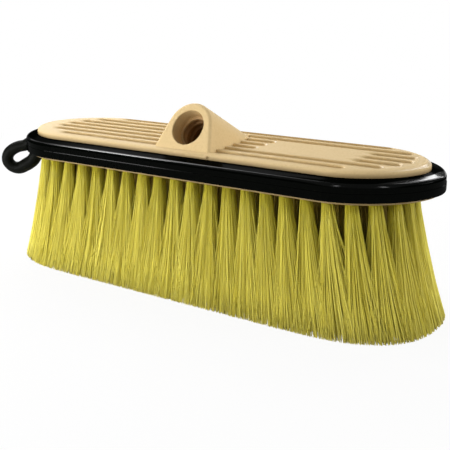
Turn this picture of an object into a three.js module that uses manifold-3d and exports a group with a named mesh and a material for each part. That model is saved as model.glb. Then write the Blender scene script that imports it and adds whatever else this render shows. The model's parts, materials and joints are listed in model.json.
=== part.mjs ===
// Wash brush head: a moulded block with a threaded handle socket on its back, a rubber bumper
// round its side, a rubber hang loop at one end, and tufts of bristles held by wire anchors.
// Millimetres, +Z up. X runs along the block, -Y is the side that the handle leaves on,
// and the bristle tips stand at Z = 0 under the middle of the block.
import * as THREE from 'three';
import { mergeGeometries, mergeVertices } from 'three/addons/utils/BufferGeometryUtils.js';
import Module from 'manifold-3d';

const wasm = await Module();
wasm.setup();

// Fits
const seatGap = 0.3;
const overrun = 2;

// Block, seen from above: straight sides with rounded, slightly pointed ends
const blockLength = 254;
const blockWidth = 68.2;
const blockEndReach = 37;
const endRoundness = 1.79;
const endSteps = 20;

// Heights, from the bristle tips up
const trimLength = 66.4;
const lipThickness = 1.2;
const flangeThickness = 4;
const rimHeight = 3.5;
const rimRoundWidth = 7;
const rimRoundHeight = 2;
const rimRoundSteps = 4;

// Bumper section, measured inward from its outer face and up from its seat on the lip
const bumperWidth = 7.75;
const bumperHeight = 10.5;
const bumperShoulderDrop = 1.4;
const bumperShoulderRound = 2.1;
const bumperFootRound = 0.9;
const bumperBead = 0.45;
const bumperBeadHeight = 5.2;
const lipInset = 3.2;
const flangeStepInset = 4.6;
const tongueDepth = 2;
const tongueHeight = 4;
const tongueRise = 4.2;

// Channels moulded into the top of the block
const channelCount = 7;
const channelPitch = 9.28;
const channelWidth = 7.4;
const channelFloorWidth = 5.4;
const channelDepth = 1.3;
const channelEndSteps = 4;
const channelMargin = 7.7;
const channelSideMargin = 9.5;
const panelStart = 35.8;
const panelLength = 49.2;
const panelChannels = [2, 3, 4];

// Handle socket: a tilted boss with a smooth lead-in and a coarse thread
const socketOffset = 3.5;
const socketTilt = THREE.MathUtils.degToRad(30);
const mouthForward = 25.6;
const mouthRise = 10.4;
const bossRadius = 14.1;
const bossBaseHalfWidth = 18.4;
const bossFlare = THREE.MathUtils.degToRad(1.6);
const bossLength = 60;
const bossRound = 1.8;
const bossArcSteps = 14;
const leadInRadius = 9.6;
const leadInDepth = 6;
const shoulderDepth = 1.4;
const threadRootRadius = 9.1;
const threadCrestRadius = 7.7;
const threadPitch = 5.08;
const threadCrestWidth = 1.7;
const threadGrooveWidth = 2;
const socketDepth = 23;
const boreSides = 24;
const threadStepsPerTurn = 18;
const padLength = 14;
const padCentre = 15.5;
const padThickness = 0.9;
const padHeight = 1.6;

// Tufts: rows that follow the edge of the block, then one straight row down the middle
const rowsEndInset = 10.6;
const rowsSideInset = 2.1;
const rowsReachInset = 3;
const rowsRoundness = 2.3;
const rowTuftCounts = [48, 42, 36];
const middleTuftCount = 17;
const backingThickness = 1.6;
const backingMargin = 4.4;
const spreadLength = 273.4;
const spreadWidth = 87.2;
const spreadEndReach = 61.5;
const spreadRoundness = 2.63;
const strandRootWidth = 2.8;
const strandTipWidth = 5;
const strandRootReach = 1.9;
const strandTipReach = 3.5;
const threeStrandShares = [[0, 1], [-0.85, -0.75], [0.85, -0.75]];
const twoStrandShares = [[-0.9, 0], [0.9, 0]];
const oneStrandShares = [[0, 0]];

// Anchor wire: flat wire on edge across the folds of the tufts, in one strip for each group
const anchorLength = 5;
const anchorThickness = 0.8;
const anchorHeight = 2.2;
const anchorLift = 0.4;
const tuftsAlongSide = 17;

// Hang loop: a thick round cord of rubber, standing square to the bumper
const loopDiameter = 7.4;
const loopSides = 10;
const loopSteps = 26;
const loopTurn = THREE.MathUtils.degToRad(27);
const loopReach = 17;
const loopDrop = 16.2;
const loopRootRise = 0.8;
const loopTuck = 6.2;
const loopRouteShares = [
  [0.27, 0.09], [0.5, 0.14], [0.72, 0.235], [0.91, 0.39], [1, 0.57], [0.99, 0.765],
  [0.82, 0.955], [0.56, 1], [0.31, 0.885], [0.02, 0.69], [-0.14, 0.475],
];

// Heights worked out from the sizes above
const lipTop = trimLength + lipThickness;
const bumperSeat = lipTop + seatGap;
const flangeTop = trimLength + flangeThickness;
const rimBase = bumperSeat + bumperHeight;
const blockTop = rimBase + rimHeight;
const recessTop = trimLength + backingThickness + seatGap;
const rowsHalfLength = blockLength / 2 - rowsEndInset;
const rowsHalfWidth = blockWidth / 2 - rowsSideInset;
const rowPitch = rowsHalfWidth / rowTuftCounts.length;
const spreadEdgeInset = strandTipReach + strandTipWidth / 2;
const spreadRowPitch = (spreadWidth / 2 - spreadEdgeInset) / rowTuftCounts.length;
const tongueBase = bumperSeat + tongueRise;
const tongueTop = tongueBase + tongueHeight;
const loopRootHeight = bumperSeat + loopRootRise;

const socketAxis = new THREE.Vector3(0, Math.cos(socketTilt), -Math.sin(socketTilt));
const mouthCentre = new THREE.Vector3(socketOffset, -mouthForward, blockTop + mouthRise);

// Outlines, as rings of points seen from above

function roundedOutline(halfLength, halfWidth, endReach, roundness, steps) {
  const bend = 2 / roundness;
  const end = [];
  for (let step = 0; step <= steps; step += 1) {
    const angle = Math.PI * (step / steps - 0.5);
    const across = Math.sign(Math.sin(angle)) * Math.abs(Math.sin(angle)) ** bend;
    const along = Math.max(Math.cos(angle), 0) ** bend;
    end.push(new THREE.Vector2(halfLength - endReach + endReach * along, halfWidth * across));
  }
  const otherEnd = end.map((point) => new THREE.Vector2(-point.x, -point.y));
  return [...end, ...otherEnd];
}

// The bumper's outer outline, drawn in by the given inset
function insetOutline(inset, steps = endSteps) {
  const halfLength = blockLength / 2 + bumperWidth - inset;
  const halfWidth = blockWidth / 2 + bumperWidth - inset;
  const endReach = blockEndReach + bumperWidth - inset;
  return roundedOutline(halfLength, halfWidth, endReach, endRoundness, steps);
}

// The line that the outermost row of tufts is rooted on, drawn in by the given inset
function rootOutline(inset, steps = endSteps) {
  const endReach = blockEndReach - rowsReachInset - inset;
  const halfLength = rowsHalfLength - inset;
  const halfWidth = rowsHalfWidth - inset;
  return roundedOutline(halfLength, halfWidth, endReach, rowsRoundness, steps);
}

// The outline of the bristle tips, drawn in by the given inset
function spreadOutline(inset, steps = endSteps) {
  const halfLength = spreadLength / 2 - inset;
  const halfWidth = spreadWidth / 2 - inset;
  return roundedOutline(halfLength, halfWidth, spreadEndReach - inset, spreadRoundness, steps);
}

// Points at even distances along a closed outline, starting at the middle of its long front side
function spacedPoints(outline, count) {
  const last = outline[outline.length - 1];
  const start = new THREE.Vector2((outline[0].x + last.x) / 2, outline[0].y);
  const walk = [start, ...outline, start];
  const lengths = [0];
  for (let index = 1; index < walk.length; index += 1) {
    lengths.push(lengths[index - 1] + walk[index].distanceTo(walk[index - 1]));
  }
  const total = lengths[lengths.length - 1];
  const points = [];
  let leg = 1;
  for (let index = 0; index < count; index += 1) {
    const target = (total * index) / count;
    while (lengths[leg] < target) leg += 1;
    const share = (target - lengths[leg - 1]) / (lengths[leg] - lengths[leg - 1]);
    const tangent = walk[leg].clone().sub(walk[leg - 1]).normalize();
    points.push({ place: walk[leg - 1].clone().lerp(walk[leg], share), tangent });
  }
  return points;
}

// Solids

function toGeometry(positions, indices) {
  const geometry = new THREE.BufferGeometry();
  geometry.setAttribute('position', new THREE.Float32BufferAttribute(positions, 3));
  geometry.setIndex(indices);
  return geometry;
}

// Rings of equal length, joined one to the next. A closed loft joins its last ring to its first;
// an open one is capped at both ends. Each ring turns counterclockwise seen from where it leads.
function loft(rings, closed = false) {
  const size = rings[0].length;
  const positions = rings.flat().flatMap((point) => [point.x, point.y, point.z]);
  const indices = [];
  const joins = closed ? rings.length : rings.length - 1;
  for (let ring = 0; ring < joins; ring += 1) {
    const lower = ring * size;
    const upper = ((ring + 1) % rings.length) * size;
    for (let index = 0; index < size; index += 1) {
      const next = (index + 1) % size;
      indices.push(lower + index, lower + next, upper + next);
      indices.push(lower + index, upper + next, upper + index);
    }
  }
  if (!closed) {
    const top = (rings.length - 1) * size;
    for (let index = 1; index < size - 1; index += 1) {
      indices.push(0, index + 1, index);
      indices.push(top, top + index, top + index + 1);
    }
  }
  return toGeometry(positions, indices);
}

function atHeight(outline, height) {
  return outline.map((point) => new THREE.Vector3(point.x, point.y, height));
}

// A body that follows an outline; its section is a list of [inset, height]
function outlineBody(section, closed = false, outline = insetOutline) {
  return loft(section.map(([inset, height]) => atHeight(outline(inset), height)), closed);
}

function toManifold(geometry) {
  const bare = geometry.clone();
  bare.deleteAttribute('normal');
  bare.deleteAttribute('uv');
  const merged = mergeVertices(bare);
  return new wasm.Manifold(new wasm.Mesh({
    numProp: 3,
    vertProperties: new Float32Array(merged.attributes.position.array),
    triVerts: new Uint32Array(merged.index.array),
  }));
}

function fromManifold(solid) {
  const mesh = solid.getMesh();
  return toGeometry(Array.from(mesh.vertProperties), Array.from(mesh.triVerts));
}

function boxSpan(low, high) {
  const size = high.clone().sub(low);
  const centre = high.clone().add(low).multiplyScalar(0.5);
  return new THREE.BoxGeometry(size.x, size.y, size.z).translate(centre.x, centre.y, centre.z);
}

// Block

// The flange carries the bumper's foot, the waist takes its tongue, the rim stands above it
function blockBodyGeometry() {
  const waist = bumperWidth + tongueDepth;
  const rimEdge = [];
  for (let step = 0; step <= rimRoundSteps; step += 1) {
    const angle = (Math.PI / 2) * (step / rimRoundSteps);
    rimEdge.push([
      bumperWidth + rimRoundWidth * (1 - Math.cos(angle)),
      blockTop - rimRoundHeight * (1 - Math.sin(angle)),
    ]);
  }
  return outlineBody([
    [lipInset, trimLength],
    [lipInset, lipTop],
    [flangeStepInset, lipTop],
    [flangeStepInset, flangeTop],
    [bumperWidth, flangeTop],
    [bumperWidth, tongueBase - seatGap],
    [waist, tongueBase - seatGap],
    [waist, tongueTop + seatGap],
    [bumperWidth, tongueTop + seatGap],
    ...rimEdge,
  ]);
}

// Turns a shape drawn across the socket's mouth so that its depth runs down the socket's axis
function placeOnSocket(geometry, depth) {
  const across = new THREE.Vector3(-1, 0, 0);
  const upward = new THREE.Vector3().crossVectors(socketAxis, across);
  const turn = new THREE.Matrix4().makeBasis(across, upward, socketAxis);
  const place = mouthCentre.clone().addScaledVector(socketAxis, depth);
  return geometry.applyMatrix4(turn.setPosition(place));
}

// Where the boss's straight flank leaves its round top, as an angle above the level line
function bossFlank() {
  const baseDrop = mouthRise / Math.cos(socketTilt);
  const reach = Math.hypot(bossBaseHalfWidth, baseDrop);
  const angle = Math.acos(bossRadius / reach) - Math.atan2(baseDrop, bossBaseHalfWidth);
  return { angle, slope: Math.tan(angle), baseDrop };
}

// The boss swells a little from its mouth down to its foot
function bossSwell(depth) {
  return 1 + (depth * Math.tan(bossFlare)) / bossRadius;
}

// Half the boss's width where it stands on the block, at a given place along Y
function bossHalfWidthAt(y) {
  const { angle, slope } = bossFlank();
  const level = (y + mouthForward) * Math.sin(socketTilt) - mouthRise * Math.cos(socketTilt);
  const depth = (y + mouthForward - level * Math.sin(socketTilt)) / Math.cos(socketTilt);
  const swell = bossSwell(depth);
  const height = level / swell;
  if (height > bossRadius) return 0;
  const leaves = bossRadius * Math.sin(angle);
  if (height > leaves) return swell * Math.sqrt(bossRadius ** 2 - height ** 2);
  return swell * (bossRadius * Math.cos(angle) + (leaves - height) * slope);
}

// The arch across the boss: a round top on flared flanks, with its foot well inside the block
function bossArch(depth, drawIn) {
  const { angle, slope, baseDrop } = bossFlank();
  const footDrop = baseDrop + flangeThickness + rimHeight;
  const leaves = bossRadius * Math.sin(angle);
  const footHalfWidth = bossRadius * Math.cos(angle) + (leaves + footDrop) * slope;
  const shrink = bossSwell(depth) * (1 - drawIn / bossRadius);
  const outline = [new THREE.Vector3(footHalfWidth, -footDrop, 0)];
  for (let step = 0; step <= bossArcSteps; step += 1) {
    const turn = angle + (Math.PI - 2 * angle) * (step / bossArcSteps);
    outline.push(new THREE.Vector3(bossRadius * Math.cos(turn), bossRadius * Math.sin(turn), 0));
  }
  outline.push(new THREE.Vector3(-footHalfWidth, -footDrop, 0));
  return outline.map((point) => point.multiplyScalar(shrink).setZ(depth));
}

// The arch run down the socket's axis, with a rounded mouth, kept only above the block's body
function bossSolid() {
  const softening = bossRound * (1 - Math.SQRT1_2);
  const run = loft([
    bossArch(0, bossRound),
    bossArch(softening, softening),
    bossArch(bossRound, 0),
    bossArch(bossLength, 0),
  ]);
  const keepHeight = mouthRise + bossRadius + overrun;
  const keep = boxSpan(
    new THREE.Vector3(-blockWidth, -blockWidth / 2 + overrun / 2, rimBase),
    new THREE.Vector3(blockWidth, blockWidth / 2, blockTop + keepHeight),
  );
  return toManifold(placeOnSocket(run, 0)).intersect(toManifold(keep));
}

// A plug with the socket's profile: lead-in, shoulder and the thread's crest bore
function socketBoreGeometry() {
  const profile = [
    [0, -overrun],
    [leadInRadius, -overrun],
    [leadInRadius, leadInDepth],
    [threadRootRadius, leadInDepth + shoulderDepth],
    [threadCrestRadius, leadInDepth + shoulderDepth],
    [threadCrestRadius, socketDepth],
    [0, socketDepth],
  ];
  const points = profile.map(([radius, depth]) => new THREE.Vector2(radius, depth));
  const plug = new THREE.LatheGeometry(points, boreSides);
  return placeOnSocket(plug.rotateX(Math.PI / 2), 0);
}

// The thread's groove as a helix of four-cornered sections
function threadGrooveGeometry() {
  const start = leadInDepth + shoulderDepth - threadPitch / 2;
  const turns = (socketDepth - threadPitch / 2 - start) / threadPitch;
  const steps = Math.round(turns * threadStepsPerTurn);
  const mouthHalf = (threadPitch - threadCrestWidth) / 2;
  const rootHalf = threadGrooveWidth / 2;
  const section = [
    [threadCrestRadius - overrun / 4, mouthHalf],
    [threadRootRadius, rootHalf],
    [threadRootRadius, -rootHalf],
    [threadCrestRadius - overrun / 4, -mouthHalf],
  ];
  const rings = [];
  for (let step = 0; step <= steps; step += 1) {
    const angle = (2 * Math.PI * step) / threadStepsPerTurn;
    const along = start + (threadPitch * step) / threadStepsPerTurn;
    rings.push(section.map(([radius, shift]) => new THREE.Vector3(
      radius * Math.cos(angle),
      radius * Math.sin(angle),
      along + shift,
    )));
  }
  return placeOnSocket(loft(rings), 0);
}

// One end of a channel, at a distance from its long axis: a half circle, or square to the boss
function channelEnd(end, turn, radius, square) {
  if (square) return [[end, -Math.cos(turn) * radius], [end, Math.cos(turn) * radius]];
  const centre = end - Math.cos(turn) * (channelWidth / 2);
  const points = [];
  for (let step = 0; step <= channelEndSteps; step += 1) {
    const angle = turn + Math.PI * (step / channelEndSteps - 1 / 2);
    points.push([centre + radius * Math.cos(angle), radius * Math.sin(angle)]);
  }
  return points;
}

// One channel's cutter: a long slot with sloping sides
function channelGeometry({ from, to, y, squareStart, squareStop }) {
  const slope = (channelWidth - channelFloorWidth) / (2 * channelDepth);
  const outlineFor = (radius) => [
    ...channelEnd(to, 0, radius, squareStop),
    ...channelEnd(from, Math.PI, radius, squareStart),
  ].map(([x, across]) => new THREE.Vector2(x, y + across));
  return loft([
    atHeight(outlineFor(channelFloorWidth / 2), blockTop - channelDepth),
    atHeight(outlineFor(channelWidth / 2 + slope * channelDepth), blockTop + channelDepth),
  ]);
}

// Half the length that a channel may have before it meets the rim round the block's end
function channelHalfLength(y) {
  const outermost = channelPitch * (channelCount - 1) / 2;
  const sideMargin = Math.abs(y) > outermost - channelPitch / 2 ? channelSideMargin : 0;
  const edge = Math.abs(y) / (blockWidth / 2);
  const reach = blockEndReach * (1 - edge ** endRoundness) ** (1 / endRoundness);
  return blockLength / 2 - blockEndReach + reach - channelMargin - sideMargin / 2;
}

// The stretches of one channel, broken where the boss stands and where the bare panel lies
function channelStretches(index) {
  const y = (index - (channelCount - 1) / 2) * channelPitch;
  const halfLength = channelHalfLength(y);
  const bossHalf = bossHalfWidthAt(Math.max(y, -mouthForward));
  const breaks = [];
  if (bossHalf > 0) {
    breaks.push({ stop: socketOffset - bossHalf, restart: socketOffset + bossHalf, square: true });
  }
  if (panelChannels.includes(index)) {
    breaks.push({ stop: panelStart, restart: panelStart + panelLength, square: false });
  }
  const stretches = [];
  let from = -halfLength;
  let squareStart = false;
  breaks.forEach(({ stop, restart, square }) => {
    stretches.push({ from, to: stop, y, squareStart, squareStop: square });
    from = restart;
    squareStart = square;
  });
  stretches.push({ from, to: halfLength, y, squareStart, squareStop: false });
  return stretches;
}

function channelsGeometry() {
  const indices = Array.from({ length: channelCount }, (_, index) => index);
  return mergeGeometries(indices.flatMap(channelStretches).map(channelGeometry));
}

// A shallow pad on the rim's face, in front of the boss
function rimPadGeometry() {
  const face = -blockWidth / 2;
  return boxSpan(
    new THREE.Vector3(padCentre - padLength / 2, face - padThickness, rimBase + seatGap),
    new THREE.Vector3(padCentre + padLength / 2, face + padHeight, rimBase + seatGap + padHeight),
  );
}

// Rows of tufts, each tuft with its root and its tip, and the row's direction at both
function tuftRows() {
  const rows = rowTuftCounts.map((count, row) => {
    const roots = spacedPoints(rootOutline(rowPitch * row), count);
    const tips = spacedPoints(spreadOutline(spreadEdgeInset + spreadRowPitch * row), count);
    return roots.map((root, index) => ({ root, tip: tips[index] }));
  });
  const rootHalf = rowsHalfLength - rowsHalfWidth;
  const tipHalf = spreadLength / 2 - spreadEdgeInset - spreadRowPitch * rowTuftCounts.length;
  const tangent = new THREE.Vector2(1, 0);
  const middle = [];
  for (let index = 0; index < middleTuftCount; index += 1) {
    const share = (2 * index) / (middleTuftCount - 1) - 1;
    middle.push({
      root: { place: new THREE.Vector2(rootHalf * share, 0), tangent },
      tip: { place: new THREE.Vector2(tipHalf * share, 0), tangent },
    });
  }
  return [...rows, middle];
}

// A row's tufts in groups: along the front, round the right end, along the back, round the left
function rowGroups(row) {
  const count = row.length;
  if (count === middleTuftCount) return [{ side: '', tufts: row }];
  const endCount = (count - 2 * tuftsAlongSide) / 2;
  const sides = ['front', 'right_end', 'back', 'left_end'];
  const sizes = endCount > 2
    ? sides.map((side, turn) => [side, turn % 2 === 0 ? tuftsAlongSide : endCount])
    : [['front', count / 2], ['back', count / 2]];
  let next = Math.ceil(-sizes[0][1] / 2) + count;
  return sizes.map(([side, size]) => {
    const tufts = [];
    for (let index = 0; index < size; index += 1) tufts.push(row[(next + index) % count]);
    next += size;
    return { side, tufts };
  });
}

// A thin strip through a group's roots, with its ends half an anchor past the first and last tuft
function stripGeometry(tufts, low, high, halfThickness, endReach) {
  const first = tufts[0].root;
  const last = tufts[tufts.length - 1].root;
  const stations = [
    { ...first, place: first.place.clone().addScaledVector(first.tangent, -endReach) },
    ...tufts.slice(1, -1).map(({ root }) => root),
    { ...last, place: last.place.clone().addScaledVector(last.tangent, endReach) },
  ];
  return loft(stations.map(({ place, tangent }) => {
    const normal = new THREE.Vector2(-tangent.y, tangent.x).multiplyScalar(halfThickness);
    return [
      new THREE.Vector3(place.x + normal.x, place.y + normal.y, low),
      new THREE.Vector3(place.x + normal.x, place.y + normal.y, high),
      new THREE.Vector3(place.x - normal.x, place.y - normal.y, high),
      new THREE.Vector3(place.x - normal.x, place.y - normal.y, low),
    ];
  }));
}

function anchorSlotGeometry({ tufts }) {
  const low = recessTop - overrun / 2;
  const high = recessTop + anchorLift + anchorHeight + seatGap;
  const halfThickness = anchorThickness / 2 + seatGap;
  return stripGeometry(tufts, low, high, halfThickness, anchorLength / 2 + seatGap);
}

function anchorWireGeometry({ tufts }) {
  const low = recessTop + anchorLift;
  return stripGeometry(tufts, low, low + anchorHeight, anchorThickness / 2, anchorLength / 2);
}

function blockGeometry(rows) {
  const recess = outlineBody([
    [-backingMargin - seatGap, trimLength - overrun],
    [-backingMargin - seatGap, recessTop],
  ], false, rootOutline);
  let solid = toManifold(blockBodyGeometry()).add(toManifold(rimPadGeometry()));
  solid = solid.subtract(toManifold(channelsGeometry()));
  solid = solid.add(bossSolid());
  solid = solid.subtract(toManifold(socketBoreGeometry()));
  solid = solid.subtract(toManifold(threadGrooveGeometry()));
  solid = solid.subtract(toManifold(recess));
  rows.flatMap(rowGroups).forEach((group) => {
    solid = solid.subtract(toManifold(anchorSlotGeometry(group)));
  });
  return fromManifold(solid);
}

// Bumper

function bumperGeometry() {
  const foot = bumperSeat;
  const shoulder = rimBase - bumperShoulderDrop;
  const bead = foot + bumperBeadHeight;
  const inner = bumperWidth - seatGap;
  const tongueTip = inner + tongueDepth;
  const softening = 1 - Math.SQRT1_2;
  return outlineBody([
    [bumperFootRound, foot],
    [0, foot + bumperFootRound],
    [0, bead - bumperBead],
    [bumperBead, bead],
    [bumperBead, shoulder - bumperShoulderRound],
    [bumperBead + bumperShoulderRound * softening, shoulder - bumperShoulderRound * softening],
    [bumperBead + bumperShoulderRound, shoulder],
    [inner, rimBase],
    [inner, tongueTop],
    [tongueTip, tongueTop],
    [tongueTip, tongueBase],
    [inner, tongueBase],
    [inner, flangeTop + seatGap],
    [flangeStepInset - seatGap, flangeTop + seatGap],
    [flangeStepInset - seatGap, foot],
  ], true);
}

// Hang loop

// The point on the bumper's outer outline whose outward direction is the loop's own
function loopRoot() {
  const outward = new THREE.Vector2(-Math.cos(loopTurn), -Math.sin(loopTurn));
  const outline = insetOutline(0, endSteps * 12);
  const place = outline.reduce((best, point) => (
    point.dot(outward) > best.dot(outward) ? point : best
  ));
  return { place, outward };
}

function hangLoopGeometry() {
  const { place, outward } = loopRoot();
  const at = (out, height) => new THREE.Vector3(
    place.x + outward.x * out,
    place.y + outward.y * out,
    height,
  );
  const turns = loopRouteShares.map(([out, drop]) => (
    at(loopReach * out, loopRootHeight - loopDrop * drop)
  ));
  const rootLead = loopDiameter / 4;
  const route = new THREE.CatmullRomCurve3([
    at(seatGap, loopRootHeight),
    at(seatGap + rootLead, loopRootHeight - rootLead / 8),
    ...turns,
    at(-loopTuck, trimLength - seatGap - rootLead),
    at(-loopTuck, trimLength - seatGap),
  ], false, 'centripetal');
  const section = new THREE.Shape();
  for (let side = 0; side < loopSides; side += 1) {
    const angle = (2 * Math.PI * side) / loopSides;
    const x = (loopDiameter / 2) * Math.cos(angle);
    const y = (loopDiameter / 2) * Math.sin(angle);
    if (side === 0) section.moveTo(x, y);
    else section.lineTo(x, y);
  }
  section.closePath();
  return new THREE.ExtrudeGeometry(section, { steps: loopSteps, extrudePath: route });
}

// Bristles

function squareRing(centre, tangent, width, height) {
  const normal = new THREE.Vector2(-tangent.y, tangent.x);
  return [[-1, -1], [1, -1], [1, 1], [-1, 1]].map(([along, across]) => new THREE.Vector3(
    centre.x + (tangent.x * along + normal.x * across) * (width / 2),
    centre.y + (tangent.y * along + normal.y * across) * (width / 2),
    height,
  ));
}

function strandPlace({ place, tangent }, along, across) {
  const normal = new THREE.Vector2(-tangent.y, tangent.x);
  return place.clone().addScaledVector(tangent, along).addScaledVector(normal, across);
}

// Strands from each tuft, which splay on their way down. Every second tuft is turned about.
// Tufts of the two outer rows have three strands, those of the next two, the middle ones have one.
const rowStrandShares = [
  threeStrandShares, threeStrandShares, twoStrandShares, oneStrandShares,
];

function strandsGeometry(row, rowIndex) {
  const shares = rowStrandShares[rowIndex];
  const strands = row.flatMap(({ root, tip }, index) => shares.map(([along, across]) => {
    const side = index % 2 === 0 ? 1 : -1;
    const top = strandPlace(root, along * side * strandRootReach, across * side * strandRootReach);
    const bottom = strandPlace(tip, along * side * strandTipReach, across * side * strandTipReach);
    return loft([
      squareRing(bottom, tip.tangent, strandTipWidth, 0),
      squareRing(top, root.tangent, strandRootWidth, trimLength + backingThickness / 2),
    ]);
  }));
  return mergeGeometries(strands);
}

// The slice of the block that one row stands in
function backingGeometry(rowIndex) {
  const low = trimLength;
  const high = trimLength + backingThickness;
  const between = rowPitch * (rowIndex + 0.5);
  const outer = rowIndex === 0 ? -backingMargin : between - rowPitch + seatGap / 2;
  const slab = [[outer, low], [outer, high]];
  if (rowIndex === rowTuftCounts.length) return outlineBody(slab, false, rootOutline);
  const inner = between - seatGap / 2;
  return outlineBody([...slab, [inner, high], [inner, low]], true, rootOutline);
}

function bristleGeometry(row, rowIndex) {
  const backing = toManifold(backingGeometry(rowIndex));
  return fromManifold(backing.add(toManifold(strandsGeometry(row, rowIndex))));
}

// Assembly

function finish(colour, roughness, metalness = 0) {
  return new THREE.MeshStandardMaterial({ color: colour, roughness, metalness });
}

const brush = new THREE.Group();

function addPiece(name, geometry, material) {
  const mesh = new THREE.Mesh(geometry, material);
  mesh.name = name;
  brush.add(mesh);
}

const rows = tuftRows();
const rowNames = ['edge_row', 'second_row', 'third_row', 'middle_row'];

addPiece('block', blockGeometry(rows), finish(0xe0c598, 0.7));
addPiece('bumper', bumperGeometry(), finish(0x101210, 0.35));
addPiece('hang_loop', hangLoopGeometry(), finish(0x121412, 0.5));
rows.forEach((row, index) => {
  addPiece(`bristles_${rowNames[index]}`, bristleGeometry(row, index), finish(0xc9bd4e, 0.6));
  rowGroups(row).forEach((group) => {
    const words = ['anchor_wire', rowNames[index], group.side].filter((word) => word !== '');
    addPiece(words.join('_'), anchorWireGeometry(group), finish(0xb9bcc0, 0.35, 1));
  });
});

export default brush;
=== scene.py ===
# %% [markdown]
# # A wash brush head
# Four sorts of stuff make this brush: a tan moulded block with a threaded socket for its handle,
# black rubber for the bumper and the hang loop, tufts of yellow-green fibre, and, out of sight, the
# steel wire that holds them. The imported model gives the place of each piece, so the lesson starts
# by loading it as a fixed frame.

# %% Load the frame
import json
import math

import bmesh
import bpy
import numpy as np
from mathutils import Matrix

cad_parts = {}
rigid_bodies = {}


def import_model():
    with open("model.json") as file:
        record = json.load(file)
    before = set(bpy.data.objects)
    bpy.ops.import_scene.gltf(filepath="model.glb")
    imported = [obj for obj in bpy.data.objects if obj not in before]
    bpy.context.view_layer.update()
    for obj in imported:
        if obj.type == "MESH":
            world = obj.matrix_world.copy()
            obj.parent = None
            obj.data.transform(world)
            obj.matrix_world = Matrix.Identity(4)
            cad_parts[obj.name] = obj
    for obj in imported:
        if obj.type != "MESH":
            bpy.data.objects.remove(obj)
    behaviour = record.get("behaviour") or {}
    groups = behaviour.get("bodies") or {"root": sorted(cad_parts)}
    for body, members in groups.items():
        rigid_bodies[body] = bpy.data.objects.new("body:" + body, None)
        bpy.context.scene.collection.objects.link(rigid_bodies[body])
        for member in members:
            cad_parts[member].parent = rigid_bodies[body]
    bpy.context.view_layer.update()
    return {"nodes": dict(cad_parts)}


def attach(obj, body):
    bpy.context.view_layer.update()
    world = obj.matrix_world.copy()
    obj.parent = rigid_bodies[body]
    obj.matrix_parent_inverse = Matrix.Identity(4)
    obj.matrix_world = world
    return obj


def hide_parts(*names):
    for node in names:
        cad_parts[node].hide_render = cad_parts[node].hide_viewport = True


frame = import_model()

# %% [markdown]
# ## Camera
# A photograph fixes four things: where the lens is, what it looks at, how long it is and how much
# the picture is tipped. The camera comes first, so that every later step can be judged through it.
# The angles are azimuth and elevation round the brush, and the roll is under half a degree.

# %% Camera
MM = 0.001
TARGET = np.array([7.976, 1.451, 32.579]) * MM
DISTANCE = 463.09 * MM
AZIMUTH, ELEVATION, ROLL = (math.radians(angle) for angle in (35.18, 16.275, -0.478))
FRAME_PIXELS = 450
FOCAL_PIXELS = 810.3
SENSOR = 36.0


def placed(name, data):
    """A new object in the scene that holds a camera, a mesh or a lamp."""
    thing = bpy.data.objects.new(name, data)
    bpy.context.scene.collection.objects.link(thing)
    return thing


right = np.array([math.cos(AZIMUTH), math.sin(AZIMUTH), 0.0])
forward = np.array([
    -math.sin(AZIMUTH) * math.cos(ELEVATION),
    math.cos(AZIMUTH) * math.cos(ELEVATION),
    -math.sin(ELEVATION),
])
up = np.cross(right, forward)
right, up = (
    right * math.cos(ROLL) + up * math.sin(ROLL),
    up * math.cos(ROLL) - right * math.sin(ROLL),
)
lens = bpy.data.cameras.new("camera")
lens.lens = SENSOR * FOCAL_PIXELS / FRAME_PIXELS
lens.sensor_width = SENSOR
lens.clip_start, lens.clip_end = 0.01, 50.0
camera = placed("camera", lens)
camera.matrix_world = Matrix([
    [right[axis], up[axis], -forward[axis], (TARGET - forward * DISTANCE)[axis]]
    for axis in range(3)
] + [[0, 0, 0, 1]])
bpy.context.scene.camera = camera
print("lens", round(lens.lens, 2), "mm, at", [round(v, 3) for v in camera.location])

# %% [markdown]
# ## Sizes and outlines
# The block, the bumper and the rows of tufts follow outlines of one kind: straight sides with ends
# that aren't quite half circles. A curve drawn by hand could match them, but a superellipse does it
# with one number, its roundness: under two for the block's ends, which are a little pointed, and
# over two for the blunter ones of the tufts. The sizes are in millimetres, as a mould maker writes
# them, and turn into metres when a mesh or a finish is made.

# %% Sizes
BLOCK_LENGTH, BLOCK_WIDTH, BLOCK_END_REACH = 254.0, 68.2, 37.0
END_ROUNDNESS = 1.79
UNDERSIDE = 66.4
LIP_TOP = 67.6
BUMPER_SEAT = 67.9
FLANGE_TOP = 70.4
RIM_BASE = 78.4
BLOCK_TOP = 81.9
RIM_ROUND_WIDTH, RIM_ROUND_HEIGHT = 7.0, 2.0
BUMPER_WIDTH = 7.75
LIP_INSET, STEP_INSET = 3.2, 4.6
GAP = 0.3
FINE_END = 72
print("block:", BLOCK_LENGTH, "x", BLOCK_WIDTH, "mm, its top at", BLOCK_TOP, "mm")


# %% Outlines
def rounded_outline(half_length, half_width, end_reach, roundness, steps=FINE_END):
    """Points counterclockwise round straight sides and two superellipse ends."""
    angle = np.pi * (np.arange(steps + 1) / steps - 0.5)
    sine = np.sin(angle)
    across = np.sign(sine) * np.abs(sine) ** (2 / roundness)
    along = np.clip(np.cos(angle), 0, None) ** (2 / roundness)
    end = np.stack([half_length - end_reach + end_reach * along, half_width * across], 1)
    return np.concatenate([end, -end])


def block_outline(inset, steps=FINE_END):
    """The bumper's outer outline, drawn in by an inset."""
    reach = BUMPER_WIDTH - inset
    return rounded_outline(
        BLOCK_LENGTH / 2 + reach, BLOCK_WIDTH / 2 + reach, BLOCK_END_REACH + reach,
        END_ROUNDNESS, steps,
    )


print("outline points:", len(block_outline(0)))

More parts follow.
